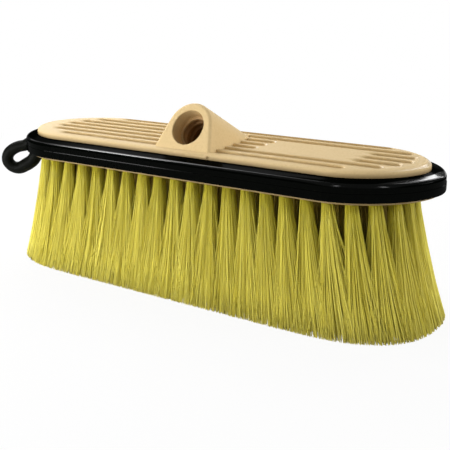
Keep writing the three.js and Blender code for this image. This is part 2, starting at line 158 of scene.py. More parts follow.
# %% [markdown]
# ## Meshes from rings
# Nearly all of this brush is a section carried along a line: the block and the bumper round their
# outline, the boss down its axis, the thread round it and the loop along its curve. Blender's curve
# objects could do parts of that. One function that joins rings of points does all of it, and its
# meshes are closed, as the cuts between them need.


# %% Rings joined to a mesh
def new_piece(name, points, faces):
    """A mesh object from points in millimetres and faces given as lists of corners."""
    mesh = bpy.data.meshes.new(name)
    mesh.from_pydata((np.asarray(points, float) * MM).tolist(), [], [list(f) for f in faces])
    mesh.update()
    return placed(name, mesh)


def loft(rings, closed=False):
    """Points and faces of rings joined one to the next, capped unless they close on themselves."""
    rings = np.asarray(rings, float)
    count, size = rings.shape[:2]
    faces = []
    for ring in range(count if closed else count - 1):
        low, high = ring * size, (ring + 1) % count * size
        for index in range(size):
            after = (index + 1) % size
            faces.append((low + index, low + after, high + after, high + index))
    if not closed:
        faces.append(tuple(range(size))[::-1])
        faces.append(tuple(range((count - 1) * size, count * size)))
    return rings.reshape(-1, 3), faces


def joined(solids):
    """Several solids as one list of points and faces."""
    points, faces, start = [], [], 0
    for some_points, some_faces in solids:
        points.append(some_points)
        faces += [tuple(corner + start for corner in face) for face in some_faces]
        start += len(some_points)
    return np.concatenate(points), faces


# %% Bodies round the outline
def at_height(outline, height):
    """An outline laid at one height."""
    return np.column_stack([outline, np.full(len(outline), height)])


def outline_body(section, closed=False):
    """A body that follows the block's outline, with a section of insets and heights."""
    return loft([at_height(block_outline(inset), height) for inset, height in section], closed)


def arc(centre, radius, start, stop, steps):
    """Section points on an arc, as inset and height. The angles are in degrees."""
    angles = np.radians(np.linspace(start, stop, steps + 1))
    return [(centre[0] + radius * math.cos(a), centre[1] + radius * math.sin(a)) for a in angles]


# %% Cutting and shading
def apply_modifiers(piece):
    """The piece's mesh becomes what its modifiers make of it."""
    graph = bpy.context.evaluated_depsgraph_get()
    made = bpy.data.meshes.new_from_object(piece.evaluated_get(graph))
    piece.modifiers.clear()
    piece.data = made


def outward(piece):
    """Turns all faces of a closed mesh to face outward."""
    shell = bmesh.new()
    shell.from_mesh(piece.data)
    bmesh.ops.recalc_face_normals(shell, faces=shell.faces)
    shell.to_mesh(piece.data)
    shell.free()
    return piece


def carve(piece, tool, operation):
    """Joins a tool to a piece or cuts it away, and throws the tool away."""
    step = piece.modifiers.new(operation, "BOOLEAN")
    step.operation = operation
    step.solver = "MANIFOLD"
    step.object = tool
    apply_modifiers(piece)
    bpy.data.objects.remove(tool)
    print(piece.name, operation.lower(), "leaves", len(piece.data.polygons), "faces")


def soften(piece, angle=32):
    """Smooth shading with sharp edges kept, led by the large faces."""
    piece.data.shade_smooth()
    piece.data.set_sharp_from_angle(angle=math.radians(angle))
    weighted = piece.modifiers.new("weighted", "WEIGHTED_NORMAL")
    weighted.keep_sharp = True


# %% [markdown]
# ## Block
# The real block is one moulding. A lip carries the bumper, a groove takes the bumper's tongue, and
# a rim stands above it with a long soft round at its edge. The same could be sculpted or made with
# subdivision, but a section swept round the outline keeps every width exact, and its rings are all
# that a boolean needs to give clean edges.

# %% Block body
EDGE_BREAK, LIP_BREAK = 0.35, 0.2
GROOVE_DEPTH = 2.0
WAIST = BUMPER_WIDTH + GROOVE_DEPTH
TONGUE_BASE, TONGUE_TOP = 72.1, 76.1
rim_edge = [
    (
        BUMPER_WIDTH + RIM_ROUND_WIDTH * (1 - math.cos(turn)),
        BLOCK_TOP - RIM_ROUND_HEIGHT * (1 - math.sin(turn)),
    )
    for turn in np.linspace(0, math.pi / 2, 11)
]
block = new_piece("moulded_block", *outline_body([
    (LIP_INSET + EDGE_BREAK, UNDERSIDE),
    (LIP_INSET, UNDERSIDE + EDGE_BREAK),
    (LIP_INSET, LIP_TOP - LIP_BREAK),
    (LIP_INSET + LIP_BREAK, LIP_TOP),
    (STEP_INSET, LIP_TOP),
    (STEP_INSET, FLANGE_TOP),
    (BUMPER_WIDTH, FLANGE_TOP),
    (BUMPER_WIDTH, TONGUE_BASE - GAP),
    (WAIST, TONGUE_BASE - GAP),
    (WAIST, TONGUE_TOP + GAP),
    (BUMPER_WIDTH, TONGUE_TOP + GAP),
    *rim_edge,
]))
print("block body:", len(block.data.polygons), "faces")

# %% [markdown]
# ## Channels
# Seven shallow channels run along the top. On the right they end round, with a wide soft lip, on
# the left they run out in long scoops, and where the socket's boss crosses them they are cut
# square. Three of them leave out a bare panel. Each cutter is a stack of outlines: a flat floor, a
# steep wall, and a flare at the top that rounds the edge over. The boss's outline comes first,
# since the channels stop at it.

# %% Boss outline
SOCKET_X, MOUTH_FORWARD, MOUTH_RISE = 3.5, 25.6, 10.4
TILT = math.radians(30)
BOSS_RADIUS, BOSS_BASE, BOSS_ROUND = 14.1, 18.4, 1.8
BOSS_DRAFT = math.radians(1.6)
BOSS_SWELL = math.tan(BOSS_DRAFT) / BOSS_RADIUS
mouth = np.array([SOCKET_X, -MOUTH_FORWARD, BLOCK_TOP + MOUTH_RISE])
socket_axis = np.array([0.0, math.cos(TILT), -math.sin(TILT)])
socket_up = np.array([0.0, math.sin(TILT), math.cos(TILT)])
base_drop = MOUTH_RISE / math.cos(TILT)
flank_turn = (
    math.acos(BOSS_RADIUS / math.hypot(BOSS_BASE, base_drop)) - math.atan2(base_drop, BOSS_BASE)
)
flank_leaves = BOSS_RADIUS * math.sin(flank_turn)


def boss_half_width(y):
    """Half the boss's width where it stands on the block, at a place along Y."""
    level = (y + MOUTH_FORWARD) * math.sin(TILT) - MOUTH_RISE * math.cos(TILT)
    depth = (y + MOUTH_FORWARD - level * math.sin(TILT)) / math.cos(TILT)
    swell = 1 + depth * BOSS_SWELL
    height = level / swell
    if height > BOSS_RADIUS:
        return 0.0
    if height > flank_leaves:
        return swell * math.sqrt(BOSS_RADIUS ** 2 - height ** 2)
    flank = (flank_leaves - height) * math.tan(flank_turn)
    return swell * (BOSS_RADIUS * math.cos(flank_turn) + flank)


print("boss is", round(2 * boss_half_width(-MOUTH_FORWARD), 1), "mm wide at its foot")

# %% Channel cutters
CHANNELS, CHANNEL_PITCH, CHANNEL_DEPTH = 7, 9.28, 1.3
CHANNEL_REACH, CHANNEL_CLEARANCE, OUTER_SHORTER = 3.7, 7.7, 4.75
PANEL = (35.8, 85.0)
PANEL_CHANNELS = (2, 3, 4)
CHANNEL_SECTION = [
    (2.8, -CHANNEL_DEPTH), (3.0, -1.2), (3.2, -0.45), (3.4, -0.18), (3.7, -0.03), (4.0, 0.4),
]
SCOOP_FLOOR, SCOOP_TOP = 2.0, 11.0
LIP_SECTION, LIP_REACH = (3.0, 3.2, 3.4, 3.7, 4.0), (3.0, 3.5, 4.0, 4.7, 5.2)


def channel_end(end, turn, radius, square):
    """One end of a channel: square at the boss, round on the right, a long scoop on the left."""
    if square:
        side = math.cos(turn) * radius
        return [(end, -side), (end, side)]
    centre = end - CHANNEL_REACH
    reach = radius if radius < LIP_SECTION[0] else np.interp(radius, LIP_SECTION, LIP_REACH)
    if turn:
        centre = end + SCOOP_TOP
        reach = np.interp(
            radius, (CHANNEL_SECTION[0][0], CHANNEL_SECTION[-1][0]), (SCOOP_FLOOR, SCOOP_TOP),
        )
    angles = turn + np.linspace(-math.pi / 2, math.pi / 2, 17)
    return [(centre + reach * math.cos(a), radius * math.sin(a)) for a in angles]


def channel(start, stop, y, square_start, square_stop):
    """The cutter of one stretch of channel."""
    rings = []
    for radius, height in CHANNEL_SECTION:
        ends = channel_end(stop, 0, radius, square_stop)
        ends += channel_end(start, math.pi, radius, square_start)
        rings.append([(x, y + across, BLOCK_TOP + height) for x, across in ends])
    return loft(rings)


def stretches(index):
    """A channel's stretches, broken at the boss and at the bare panel."""
    y = (index - (CHANNELS - 1) / 2) * CHANNEL_PITCH
    edge = abs(y) / (BLOCK_WIDTH / 2)
    reach = BLOCK_END_REACH * (1 - edge ** END_ROUNDNESS) ** (1 / END_ROUNDNESS)
    half = BLOCK_LENGTH / 2 - BLOCK_END_REACH + reach - CHANNEL_CLEARANCE
    if index in (0, CHANNELS - 1):
        half -= OUTER_SHORTER
    breaks = []
    boss = boss_half_width(max(y, -MOUTH_FORWARD))
    if boss:
        breaks.append((SOCKET_X - boss, SOCKET_X + boss, True))
    if index in PANEL_CHANNELS:
        breaks.append((*PANEL, False))
    found, start, square = [], -half, False
    for stop, restart, is_square in breaks:
        found.append((start, stop, y, square, is_square))
        start, square = restart, is_square
    return found + [(start, half, y, square, False)]


cuts = [channel(*stretch) for index in range(CHANNELS) for stretch in stretches(index)]
carve(block, new_piece("channel_cutters", *joined(cuts)), "DIFFERENCE")
print("channel stretches:", len(cuts))

# %% [markdown]
# ## Handle socket
# The boss is an arch with a round top and flared flanks, run down the socket's slanted axis until
# it sinks into the block. Its mouth is softly rounded. A small flat pad stands on the rim in front
# of it. The hole has a smooth lead-in, a shoulder, and a coarse thread. A thread could be a bump in
# the material, but a boolean gives it real depth: its groove is a helix of sections, lofted ring by
# ring and cut away.

# %% Boss
BOSS_SUNK, BOSS_LENGTH = 7.5, 60.0
FRONT_SIDE, FRONT_MARGIN = -BLOCK_WIDTH / 2, 1.0


def on_socket(points):
    """Points given across, up and down the socket's axis, placed on the block."""
    points = np.asarray(points, float)
    place = points[..., 0:1] * np.array([-1.0, 0.0, 0.0])
    return mouth + place + points[..., 1:2] * socket_up + points[..., 2:3] * socket_axis


def boss_arch(depth, draw_in, steps=40):
    """The outline across the boss, drawn in for its rounded mouth."""
    foot = base_drop + BOSS_SUNK
    foot_half = BOSS_RADIUS * math.cos(flank_turn) + (flank_leaves + foot) * math.tan(flank_turn)
    turns = np.linspace(flank_turn, math.pi - flank_turn, steps + 1)
    flat = [(foot_half, -foot)]
    flat += [(BOSS_RADIUS * math.cos(t), BOSS_RADIUS * math.sin(t)) for t in turns]
    flat += [(-foot_half, -foot)]
    scale = (1 + depth * BOSS_SWELL) * (1 - draw_in / BOSS_RADIUS)
    return [(x * scale, y * scale, depth) for x, y in flat]


mouth_round = [
    (BOSS_ROUND * (1 - math.cos(turn)), BOSS_ROUND * (1 - math.sin(turn)))
    for turn in np.linspace(0, math.pi / 2, 7)
]
arches = [boss_arch(depth, draw_in) for depth, draw_in in mouth_round]
arches.append(boss_arch(BOSS_LENGTH, 0.0))
boss = new_piece("boss", *loft(on_socket(arches)))


def box_points(low, high):
    """Points and faces of a box between two corners."""
    corners = [(low[0], low[1]), (high[0], low[1]), (high[0], high[1]), (low[0], high[1])]
    return loft([[(x, y, z) for x, y in corners] for z in (low[2], high[2])])


keep = new_piece("keep", *box_points(
    (-BOSS_LENGTH, FRONT_SIDE + FRONT_MARGIN, RIM_BASE),
    (BOSS_LENGTH, -FRONT_SIDE, 2 * BOSS_LENGTH),
))
carve(boss, keep, "INTERSECT")
carve(block, boss, "UNION")

# %% Pad on the rim
PAD_LEFT, PAD_RIGHT, PAD_LOW, PAD_HIGH = 8.5, 22.5, 78.7, 80.3
PAD_PROUD, PAD_SUNK = 0.9, 1.6
pad = new_piece("pad", *box_points(
    (PAD_LEFT, FRONT_SIDE - PAD_PROUD, PAD_LOW), (PAD_RIGHT, FRONT_SIDE + PAD_SUNK, PAD_HIGH),
))
bevel = pad.modifiers.new("edge", "BEVEL")
bevel.width, bevel.segments = EDGE_BREAK * MM, 3
apply_modifiers(pad)
carve(block, pad, "UNION")


# %% Bore
def turned(profile, sides):
    """A plug turned round the socket's axis, from radii and depths."""
    rings = []
    for radius, depth in profile:
        turns = np.linspace(0, 2 * math.pi, sides, endpoint=False)
        rings.append([(radius * math.cos(t), radius * math.sin(t), depth) for t in turns])
    return loft(on_socket(rings))


SHOULDER_DEPTH, SOCKET_DEPTH = 7.4, 23.0
THREAD_ROOT, THREAD_CREST = 9.1, 7.7
BORE = [
    (10.1, -2.0), (10.1, -0.1), (9.85, 0.1), (9.65, 0.45), (9.6, 0.8), (9.6, 5.8), (9.45, 6.1),
    (THREAD_ROOT, SHOULDER_DEPTH), (THREAD_CREST, SHOULDER_DEPTH), (THREAD_CREST, SOCKET_DEPTH),
]
plug = outward(new_piece("bore_plug", *turned(BORE, 96)))
carve(block, plug, "DIFFERENCE")

# %% Thread
THREAD_PITCH, THREAD_STEPS = 5.08, 60
THREAD_SIDE = [(7.3, 1.9), (THREAD_CREST, 1.75), (8.8, 1.25), (THREAD_ROOT, 0.9)]
THREAD_SECTION = THREAD_SIDE + [(radius, -shift) for radius, shift in reversed(THREAD_SIDE)]
thread_start = SHOULDER_DEPTH - THREAD_PITCH / 2
thread_turns = (SOCKET_DEPTH - THREAD_PITCH / 2 - thread_start) / THREAD_PITCH
rings = []
for step in range(round(thread_turns * THREAD_STEPS) + 1):
    turn = 2 * math.pi * step / THREAD_STEPS
    depth = thread_start + THREAD_PITCH * step / THREAD_STEPS
    rings.append([
        (radius * math.cos(turn), radius * math.sin(turn), depth + shift)
        for radius, shift in THREAD_SECTION
    ])
groove = outward(new_piece("thread_groove", *loft(on_socket(rings))))
carve(block, groove, "DIFFERENCE")

# %% [markdown]
# ## Where the tufts stand
# Three rows of tufts run round the block, and a straight one runs down the middle. A row's tufts
# stand at even distances along its line, and their tips at even distances along a wider one: that
# is all it takes to splay the whole brush. The same places give the holes in the block. An array
# modifier along a curve could place them too, but here the fibres need the same numbers.

# %% Lines of the rows
ROWS_LENGTH, ROWS_WIDTH, ROWS_END, ROWS_ROUNDNESS = 232.8, 64.0, 34.0, 2.3
ROW_COUNTS, MIDDLE_COUNT = (48, 42, 36), 17
ROW_PITCH = ROWS_WIDTH / 2 / len(ROW_COUNTS)
SPREAD_LENGTH, SPREAD_WIDTH, SPREAD_END, SPREAD_ROUNDNESS = 273.4, 87.2, 61.5, 2.63
TIP_INSET = 6.0
TIP_PITCH = (SPREAD_WIDTH / 2 - TIP_INSET) / len(ROW_COUNTS)
print("rows are", round(ROW_PITCH, 1), "mm apart, their tips", round(TIP_PITCH, 1), "mm")


def root_outline(inset, steps=20):
    """The line that a row's tufts stand on."""
    return rounded_outline(
        ROWS_LENGTH / 2 - inset, ROWS_WIDTH / 2 - inset, ROWS_END - inset, ROWS_ROUNDNESS, steps,
    )


def spread_outline(inset):
    """The wider line that the same row's tips end on."""
    return rounded_outline(
        SPREAD_LENGTH / 2 - inset, SPREAD_WIDTH / 2 - inset, SPREAD_END - inset,
        SPREAD_ROUNDNESS,
    )


# %% Even steps along a row
def round_walk(outline, count):
    """A walk round an outline from the middle of its front side, in steps of one tuft."""
    start = np.array([0.0, outline[0][1]])
    corners = np.concatenate([[start], outline, [start]])
    legs = np.linalg.norm(np.diff(corners, axis=0), axis=1)
    lengths = np.concatenate([[0], np.cumsum(legs)])

    def walk(steps):
        wanted = lengths[-1] * (np.asarray(steps, float) / count % 1)
        leg = np.clip(np.searchsorted(lengths, wanted, side="right") - 1, 0, len(legs) - 1)
        ways = (corners[leg + 1] - corners[leg]) / legs[leg][:, None]
        return corners[leg] + ways * (wanted - lengths[leg])[:, None], ways
    return walk


def straight_walk(half, count):
    """A walk along the middle line, in steps of one tuft."""
    def walk(steps):
        along = half * (2 * np.asarray(steps, float) / (count - 1) - 1)
        return np.column_stack([along, 0 * along]), np.tile([1.0, 0.0], (len(along), 1))
    return walk


# %% Tuft places
root_half = ROWS_LENGTH / 2 - ROWS_WIDTH / 2
tip_half = SPREAD_LENGTH / 2 - TIP_INSET - TIP_PITCH * len(ROW_COUNTS)
rows = [
    (
        *round_walk(root_outline(ROW_PITCH * row), count)(np.arange(count)),
        round_walk(spread_outline(TIP_INSET + TIP_PITCH * row), count),
    )
    for row, count in enumerate(ROW_COUNTS)
]
rows.append((
    *straight_walk(root_half, MIDDLE_COUNT)(np.arange(MIDDLE_COUNT)),
    straight_walk(tip_half, MIDDLE_COUNT),
))
print("tufts:", [len(row[0]) for row in rows])

# %% Tuft holes
HOLE_RADIUS, HOLE_TOP, HOLE_FLARE = 3.55, 69.8, 0.5
HOLE_PROFILE = [
    (HOLE_RADIUS + HOLE_FLARE, UNDERSIDE - HOLE_FLARE),
    (HOLE_RADIUS, UNDERSIDE + EDGE_BREAK),
    (HOLE_RADIUS, HOLE_TOP),
]
SLOT_HALF, SLOT_LOW, SLOT_TOP, SLOT_OVERRUN = 1.6, 68.2, 71.3, 4.0
holes = []
turns = np.linspace(0, 2 * math.pi, 24, endpoint=False)
circle = np.column_stack([np.cos(turns), np.sin(turns)])
for places, *_ in rows:
    for place in places:
        holes.append(loft([
            at_height(place + circle * radius, height) for radius, height in HOLE_PROFILE
        ]))
for row in range(len(ROW_COUNTS)):
    inset = ROW_PITCH * row
    section = [
        (inset - SLOT_HALF, SLOT_LOW), (inset - SLOT_HALF, SLOT_TOP),
        (inset + SLOT_HALF, SLOT_TOP), (inset + SLOT_HALF, SLOT_LOW),
    ]
    slot = loft([at_height(root_outline(i, 40), height) for i, height in section], True)
    carve(block, outward(new_piece("wire_slot", *slot)), "DIFFERENCE")
middle_slot = box_points(
    (-root_half - SLOT_OVERRUN, -SLOT_HALF, SLOT_LOW),
    (root_half + SLOT_OVERRUN, SLOT_HALF, SLOT_TOP),
)
carve(block, new_piece("wire_slot", *middle_slot), "DIFFERENCE")
carve(block, new_piece("tuft_holes", *joined(holes)), "DIFFERENCE")
soften(block)
print("holes:", len(holes))

# %% [markdown]
# ## Bumper
# One rubber strip is stretched round the block, with a tongue in the block's groove. Its shoulder
# is a round of two millimetres, a crest rises from there at ten degrees and then at twenty, and a
# ledge of a quarter of a millimetre runs along the middle of its face, with a slanted edge that
# catches a thin line of light. Lines this thin could be painted on, but real edges keep them right
# from every side. The section is swept round the outline, as the rubber really runs.

# %% Bumper
FOOT_ROUND, SHOULDER_ROUND, SHOULDER_DROP = 0.9, 2.1, 1.4
LEDGE_WIDTH, LEDGE_RISE, LEDGE_SLOPE = 0.25, 4.3, 0.87
LEDGE = BUMPER_SEAT + LEDGE_RISE
LEDGE_TOP = LEDGE + LEDGE_SLOPE * LEDGE_WIDTH
shoulder = RIM_BASE - SHOULDER_DROP
inner = BUMPER_WIDTH - GAP
bumper = new_piece("rubber_bumper", *outline_body([
    *arc((FOOT_ROUND, BUMPER_SEAT + FOOT_ROUND), FOOT_ROUND, 270, 180, 6),
    (0.0, LEDGE),
    (LEDGE_WIDTH, LEDGE_TOP),
    *arc((LEDGE_WIDTH + SHOULDER_ROUND, shoulder - SHOULDER_ROUND), SHOULDER_ROUND, 180, 100, 9),
    (LEDGE_WIDTH + 3.9, shoulder + 0.35),
    (inner - 0.8, RIM_BASE - 0.15),
    (inner - 0.3, RIM_BASE - 0.2),
    (inner, RIM_BASE - 0.5),
    (inner, TONGUE_TOP),
    (inner + GROOVE_DEPTH, TONGUE_TOP),
    (inner + GROOVE_DEPTH, TONGUE_BASE),
    (inner, TONGUE_BASE),
    (inner, FLANGE_TOP + GAP),
    (STEP_INSET - GAP, FLANGE_TOP + GAP),
    (STEP_INSET - GAP, BUMPER_SEAT),
], closed=True))
soften(bumper, 40)
print("bumper:", len(bumper.data.polygons), "faces")

# %% [markdown]
# ## Hang loop
# The loop is a thick round cord of rubber that stands square to the bumper and tucks back under the
# lip. A smooth curve through a few points is drawn first, and a ring is carried along it. A curve
# object with a bevel would do as well, but rings let the ends swell where they are bonded on.

# %% Route of the loop
LOOP_TURN = math.radians(27)
LOOP_REACH, LOOP_DROP, LOOP_RADIUS = 17.0, 16.2, 3.7
LOOP_ROOT, LOOP_TUCK = BUMPER_SEAT + 0.8, 6.2
LOOP_SWELL, LOOP_SWELL_LENGTH = 0.1, 2.2
LOOP_STOUTNESS = ((0, 0.5, 0.7, 1), (0.97, 1.0, 1.13, 1.1))
LOOP_ROUTE = [
    (0.27, 0.09), (0.5, 0.14), (0.72, 0.235), (0.91, 0.39), (1, 0.57), (0.99, 0.765),
    (0.82, 0.955), (0.56, 1), (0.31, 0.885), (0.02, 0.69), (-0.14, 0.475),
]
out_way = np.array([-math.cos(LOOP_TURN), -math.sin(LOOP_TURN)])
edge_points = block_outline(0, 240)
loop_root = edge_points[np.argmax(edge_points @ out_way)]


def on_loop(out, height):
    """A point in the upright plane that the loop hangs in."""
    return np.array([*(loop_root + out_way * out), height])


def smooth_route(points, steps):
    """A centripetal curve through the points, at even steps of its own measure."""
    points = np.asarray(points)
    padded = np.concatenate([[2 * points[0] - points[1]], points, [2 * points[-1] - points[-2]]])
    route = []
    for index in range(1, len(padded) - 2):
        p0, p1, p2, p3 = padded[index - 1:index + 3]
        t1 = np.linalg.norm(p1 - p0) ** 0.5
        t2 = t1 + np.linalg.norm(p2 - p1) ** 0.5
        t3 = t2 + np.linalg.norm(p3 - p2) ** 0.5
        for t in np.linspace(t1, t2, steps, endpoint=False):
            a1 = (t1 - t) / t1 * p0 + t / t1 * p1
            a2 = (t2 - t) / (t2 - t1) * p1 + (t - t1) / (t2 - t1) * p2
            a3 = (t3 - t) / (t3 - t2) * p2 + (t - t2) / (t3 - t2) * p3
            b1 = (t2 - t) / t2 * a1 + t / t2 * a2
            b2 = (t3 - t) / (t3 - t1) * a2 + (t - t1) / (t3 - t1) * a3
            route.append((t2 - t) / (t2 - t1) * b1 + (t - t1) / (t2 - t1) * b2)
    return np.array(route + [points[-1]])


lead = LOOP_RADIUS / 2
route = smooth_route([
    on_loop(GAP, LOOP_ROOT),
    on_loop(GAP + lead, LOOP_ROOT - lead / 8),
    *[on_loop(LOOP_REACH * out, LOOP_ROOT - LOOP_DROP * drop) for out, drop in LOOP_ROUTE],
    on_loop(-LOOP_TUCK, UNDERSIDE - GAP - lead),
    on_loop(-LOOP_TUCK, UNDERSIDE - GAP),
], 8)
print("route of the loop:", len(route), "points")

# %% Hang loop
ways = np.gradient(route, axis=0)
ways /= np.linalg.norm(ways, axis=1)[:, None]
side_way = np.array([-out_way[1], out_way[0], 0.0])
other_way = np.cross(ways, side_way)
turns = np.linspace(0, 2 * math.pi, 28, endpoint=False)
along = np.concatenate([[0], np.cumsum(np.linalg.norm(np.diff(route, axis=0), axis=1))])
from_end = np.minimum(along, along[-1] - along)
girth = LOOP_RADIUS * (1 + LOOP_SWELL * np.exp(-(from_end / LOOP_SWELL_LENGTH) ** 2))
girth *= np.interp(along / along[-1], *LOOP_STOUTNESS)
rings = [
    place + size * (np.cos(turns)[:, None] * side_way + np.sin(turns)[:, None] * other)
    for place, size, other in zip(route, girth, other_way)
]
loop = outward(new_piece("rubber_hang_loop", *loft(rings)))
soften(loop, 50)
print("hang loop is", round(along[-1], 1), "mm long")

# %% [markdown]
# ## Fibres
# Each tuft is a bundle of fine fibres folded into its hole. Modelling fur as particles or hair
# curves would be quicker to set up, but these fibres have to be a mesh that can be measured, so
# every one is a three-sided rod of a few rings. They start packed in the hole, splay in small
# clumps, and end trimmed level. A few stray and cross their neighbours. All random draws come from
# one seeded source, so every run grows the same brush.

# %% Places of the fibres
chance = np.random.default_rng(791)
TUFT_RADIUS, TUFT_TOP, CLUMPS = 2.8, UNDERSIDE + 1.5, 9
SCATTER, OUTER_PUSH, SPREAD_LIMITS = (0.12, 0.05), 0.6, ((-2, -1.02), (2, 1.1))
STRAY_SHARE, STRAY_WAY = 0.1, 0.45
WILD_SHARE, WILD_WAY = 0.03, 2
TUFT_LEAN, TUFT_GIRTH_CHANGE = 0.08, 0.04
FIBRE_CURVE, FIBRE_BOW = 0.4, 0.3
CUT_CHANGE, CUT_LIMITS = 0.15, (0.02, 0.9)
DISC_POWER, CLUMP_REACH = 0.43, 0.9
OWN_TONE = 0.75


def disc_points(count):
    """Points spread over a disc of radius one, a little closer together toward its rim."""
    index = np.arange(count)
    turn = index * math.pi * (3 - math.sqrt(5)) + chance.uniform(0, 2 * math.pi)
    reach = ((index + 0.5) / count) ** DISC_POWER
    return np.column_stack([reach * np.cos(turn), reach * np.sin(turn)])


def to_square(points):
    """Points of a disc drawn out into a square."""
    length = np.linalg.norm(points, axis=1) + 1e-9
    widest = np.abs(points).max(axis=1) + 1e-9
    return points * (length / widest)[:, None]


def tuft_paths(root, tip_walk, step, count, levels, reach):
    """Paths of one tuft's fibres, from its hole down to its tips, and each fibre's tone."""
    root_place, root_way = root
    packed = disc_points(count)
    centres = disc_points(CLUMPS) * CLUMP_REACH
    order = np.argmin(np.linalg.norm(packed[:, None] - centres[None], axis=2), axis=1)
    drawn = centres[order] - packed
    spread = to_square(packed) + chance.normal(0, 1, (count, 2)) * SCATTER
    outer = spread[:, 1] < 0
    spread[outer, 1] = -np.abs(spread[outer, 1]) ** OUTER_PUSH
    stray = chance.random(count) < STRAY_SHARE
    spread[stray, 0] += chance.normal(0, STRAY_WAY, stray.sum())
    wild = chance.random(count) < WILD_SHARE
    spread[wild, 0] = chance.uniform(-WILD_WAY, WILD_WAY, wild.sum())
    spread = np.clip(spread, *SPREAD_LIMITS)
    root_across = np.array([-root_way[1], root_way[0]])
    lean = chance.normal(0, TUFT_LEAN)
    tip_places, tip_ways = tip_walk(step + lean + reach[0] * spread[:, 0])
    tip_across = np.column_stack([-tip_ways[:, 1], tip_ways[:, 0]])
    girth = TUFT_RADIUS * chance.normal(1, TUFT_GIRTH_CHANGE)
    start = root_place + girth * (packed[:, :1] * root_way + packed[:, 1:] * root_across)
    stop = tip_places + reach[1] * spread[:, 1:] * tip_across
    bow = chance.normal(0, FIBRE_BOW, (count, 2)) + FIBRE_BOW * drawn
    low = np.clip(np.abs(chance.normal(0, CUT_CHANGE, count)), *CUT_LIMITS)
    paths = []
    for level in levels:
        share = FIBRE_CURVE * level ** 2 + (1 - FIBRE_CURVE) * level
        flat = start + (stop - start) * share + bow * math.sin(math.pi * level)
        paths.append(np.column_stack([flat, TUFT_TOP + (low - TUFT_TOP) * level]))
    tone = OWN_TONE * chance.random(count) + (1 - OWN_TONE) * chance.random(CLUMPS)[order]
    return np.stack(paths, 1), tone


# %% Rods and their map
FIBRE_SIDES = 3
CELL_ACROSS, CELL_DOWN = (0.05, 0.9), (0.12, 0.76)
CAP_ACROSS, TOP_CAP, TIP_CAP = (0.1, 0.9, 0.5), (0.02, 0.02, 0.1), (0.9, 0.9, 0.98)


def rods(paths, girth):
    """Points of thin rods along paths, and the corners of their sides and of their end caps."""
    number, rings = paths.shape[:2]
    turn = chance.uniform(0, 2 * math.pi, number)[:, None] + np.arange(FIBRE_SIDES) * (
        2 * math.pi / FIBRE_SIDES
    )
    ring = np.stack([np.cos(turn), np.sin(turn), np.zeros_like(turn)], 2)
    points = paths[:, :, None] + ring[:, None] * girth[None, :, None, None]
    corner = np.arange(number * rings * FIBRE_SIDES).reshape(number, rings, FIBRE_SIDES)
    after = np.roll(corner, -1, axis=2)
    sides = np.stack([corner[:, :-1], corner[:, 1:], after[:, 1:], after[:, :-1]], 3)
    caps = np.stack([corner[:, 0], corner[:, -1][:, ::-1]], 1)
    return points, sides, caps


def bake_map(number, levels):
    """A flat map for baked colours, in which every rod has a cell of its own."""
    cells = math.ceil(math.sqrt(number))
    cell = np.stack([np.arange(number) % cells, np.arange(number) // cells], 1)
    across = CELL_ACROSS[0] + CELL_ACROSS[1] * np.arange(FIBRE_SIDES + 1) / FIBRE_SIDES
    down = CELL_DOWN[0] + CELL_DOWN[1] * np.asarray(levels)
    side_map = np.zeros((number, len(levels) - 1, FIBRE_SIDES, 4, 2))
    side_map[..., 0, 0] = side_map[..., 1, 0] = across[None, None, :-1]
    side_map[..., 2, 0] = side_map[..., 3, 0] = across[None, None, 1:]
    side_map[..., 0, 1] = side_map[..., 3, 1] = down[None, :-1, None]
    side_map[..., 1, 1] = side_map[..., 2, 1] = down[None, 1:, None]
    cap_map = np.zeros((number, 2, FIBRE_SIDES, 2))
    cap_map[..., 0] = CAP_ACROSS
    cap_map[:, 0, :, 1] = TOP_CAP
    cap_map[:, 1, :, 1] = TIP_CAP
    side_map = (side_map + cell[:, None, None, None]) / cells
    cap_map = (cap_map + cell[:, None, None]) / cells
    return np.concatenate([side_map.reshape(-1), cap_map.reshape(-1)])

# %% Fibre meshes
THICKNESS_LEVELS = (0, 0.7, 1)


def fibre_mesh(name, points, sides, caps):
    """A mesh filled straight from arrays, which is quick enough for many thousand rods."""
    mesh = bpy.data.meshes.new(name)
    mesh.vertices.add(points.size // 3)
    mesh.vertices.foreach_set("co", (points.reshape(-1) * MM).astype(np.float32))
    corners = np.concatenate([sides.reshape(-1), caps.reshape(-1)])
    totals = np.concatenate([
        np.full(sides.size // 4, 4), np.full(caps.size // FIBRE_SIDES, FIBRE_SIDES),
    ])
    mesh.loops.add(len(corners))
    mesh.loops.foreach_set("vertex_index", corners.astype(np.int32))
    mesh.polygons.add(len(totals))
    mesh.polygons.foreach_set("loop_start", (np.cumsum(totals) - totals).astype(np.int32))
    mesh.polygons.foreach_set("loop_total", totals.astype(np.int32))
    mesh.update(calc_edges=True)
    mesh.shade_smooth()
    return mesh


